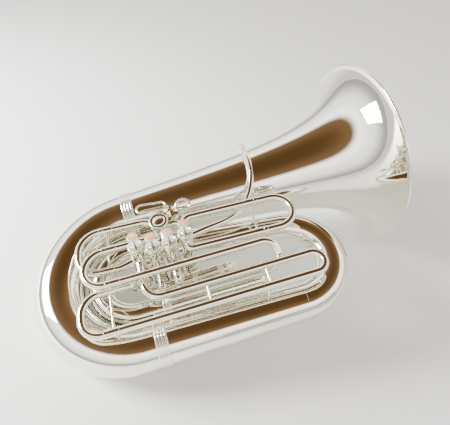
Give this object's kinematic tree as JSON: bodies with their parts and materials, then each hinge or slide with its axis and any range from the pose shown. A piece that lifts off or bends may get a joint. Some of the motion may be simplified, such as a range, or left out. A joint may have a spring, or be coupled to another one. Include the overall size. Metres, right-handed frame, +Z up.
{
  "type": "concert tuba",
  "caption": "Silver-plated concert tuba lying on its back, with front-action pistons, a thumb-operated rotary valve, drawable tuning slides and a flared bell.",
  "frame": {"origin": "middle of the bounding box at floor level", "axes": "+X from the bottom bow towards the bell's mouth, +Z up with the instrument lying on its back"},
  "size_m": [0.9424, 0.6936, 0.4956],
  "materials": {
    "silver_plate": "polished silver plate",
    "spring_steel": "drawn spring wire",
    "pearl": "polished shell inlay",
    "piston_metal": "lapped nickel alloy"
  },
  "bodies": {
    "instrument": {"bell": "silver_plate", "bell_ferrule": "silver_plate", "bottom_bow": "silver_plate", "bottom_cap_1": "silver_plate", "bottom_cap_2": "silver_plate", "bottom_cap_3": "silver_plate", "bottom_cap_4": "silver_plate", "bow_ferrule": "silver_plate", "branch_ferrule": "silver_plate", "branch_guard": "silver_plate", "fifth_valve_tubes": "silver_plate", "first_valve_tubes": "silver_plate", "fourth_valve_tubes": "silver_plate", "inner_bow": "silver_plate", "leadpipe": "silver_plate", "leadpipe_brace": "silver_plate", "lever_bracket": "silver_plate", "mouthpiece_receiver": "silver_plate", "outer_branch": "silver_plate", "piston_spring_1": "spring_steel", "piston_spring_2": "spring_steel", "piston_spring_3": "spring_steel", "piston_spring_4": "spring_steel", "return_branch": "silver_plate", "rotor_cap": "silver_plate", "rotor_casing": "silver_plate", "second_branch": "silver_plate", "second_valve_tubes": "silver_plate", "third_branch": "silver_plate", "third_valve_long_tube": "silver_plate", "third_valve_short_tube": "silver_plate", "thumb_ring": "silver_plate", "top_bow": "silver_plate", "top_bow_guard": "silver_plate", "top_cap_1": "silver_plate", "top_cap_2": "silver_plate", "top_cap_3": "silver_plate", "top_cap_4": "silver_plate", "valve_casing_1": "silver_plate", "valve_casing_2": "silver_plate", "valve_casing_3": "silver_plate", "valve_casing_4": "silver_plate"},
    "piston_1_group": {"piston_1": "piston_metal", "finger_button_1": "pearl"},
    "piston_2_group": {"piston_2": "piston_metal", "finger_button_2": "pearl"},
    "piston_3_group": {"piston_3": "piston_metal", "finger_button_3": "pearl"},
    "piston_4_group": {"piston_4": "piston_metal", "finger_button_4": "pearl"},
    "thumb_lever_group": {"thumb_lever": "silver_plate"},
    "rotor_group": {"rotor": "piston_metal", "rotor_stop_arm": "silver_plate"},
    "link_group": {"rotor_link": "silver_plate"},
    "main_tuning_slide_group": {"main_tuning_slide": "silver_plate"},
    "first_valve_slide_group": {"first_valve_slide": "silver_plate"},
    "second_valve_slide_group": {"second_valve_slide": "silver_plate"},
    "third_valve_slide_group": {"third_valve_slide": "silver_plate"},
    "fourth_valve_slide_group": {"fourth_valve_slide": "silver_plate"},
    "fifth_valve_slide_group": {"fifth_valve_slide": "silver_plate"}
  },
  "joints": [
    {"name": "piston_1_press", "type": "slide", "parent": "instrument", "child": "piston_1_group", "axis": [0.1604, -0.0439, -0.9861], "range_m": [0, 0.018], "stiffness_N_per_m": 120, "springref_m": -0.022, "deforming": ["piston_spring_1"]},
    {"name": "piston_2_press", "type": "slide", "parent": "instrument", "child": "piston_2_group", "axis": [0.1604, -0.0439, -0.9861], "range_m": [0, 0.018], "stiffness_N_per_m": 120, "springref_m": -0.022, "deforming": ["piston_spring_2"]},
    {"name": "piston_3_press", "type": "slide", "parent": "instrument", "child": "piston_3_group", "axis": [0.1604, -0.0439, -0.9861], "range_m": [0, 0.018], "stiffness_N_per_m": 120, "springref_m": -0.022, "deforming": ["piston_spring_3"]},
    {"name": "piston_4_press", "type": "slide", "parent": "instrument", "child": "piston_4_group", "axis": [0.1604, -0.0439, -0.9861], "range_m": [0, 0.018], "stiffness_N_per_m": 120, "springref_m": -0.022, "deforming": ["piston_spring_4"]},
    {"name": "thumb_lever_pivot", "type": "hinge", "parent": "instrument", "child": "thumb_lever_group", "pos_m": [-0.14633, -0.02719, 0.23183], "axis": [0.2074, 0.1241, -0.9704], "range_deg": [0, 27], "stiffness_Nm_per_rad": 0.35, "springref_deg": -14.32},
    {"name": "rotor_turn", "type": "hinge", "parent": "instrument", "child": "rotor_group", "pos_m": [-0.17003, -0.05094, 0.19436], "axis": [0.2074, 0.1241, -0.9704], "range_deg": [0, 90]},
    {"name": "link_pivot", "type": "hinge", "parent": "thumb_lever_group", "child": "link_group", "pos_m": [-0.17326, -0.02929, 0.16243], "axis": [0.2074, 0.1241, -0.9704], "range_deg": [-27, 0]},
    {"name": "main_tuning_draw", "type": "slide", "parent": "instrument", "child": "main_tuning_slide_group", "axis": [0.9779, 0, 0.209], "range_m": [0, 0.06]},
    {"name": "first_valve_draw", "type": "slide", "parent": "instrument", "child": "first_valve_slide_group", "axis": [0.9782, -0.0346, 0.2047], "range_m": [0, 0.07]},
    {"name": "second_valve_draw", "type": "slide", "parent": "instrument", "child": "second_valve_slide_group", "axis": [0.0259, -0.9923, -0.1213], "range_m": [0, 0.01]},
    {"name": "third_valve_draw", "type": "slide", "parent": "instrument", "child": "third_valve_slide_group", "axis": [-0.9779, 0, -0.209], "range_m": [0, 0.042]},
    {"name": "fourth_valve_draw", "type": "slide", "parent": "instrument", "child": "fourth_valve_slide_group", "axis": [-0.9779, 0, -0.209], "range_m": [0, 0.034]},
    {"name": "fifth_valve_draw", "type": "slide", "parent": "instrument", "child": "fifth_valve_slide_group", "axis": [-0.9779, 0.0519, -0.2024], "range_m": [0, 0.02]}
  ],
  "couplings": [
    {"joint": "rotor_turn", "follows": "thumb_lever_pivot", "ratio": 3.3333},
    {"joint": "link_pivot", "follows": "thumb_lever_pivot", "ratio": -1}
  ]
}
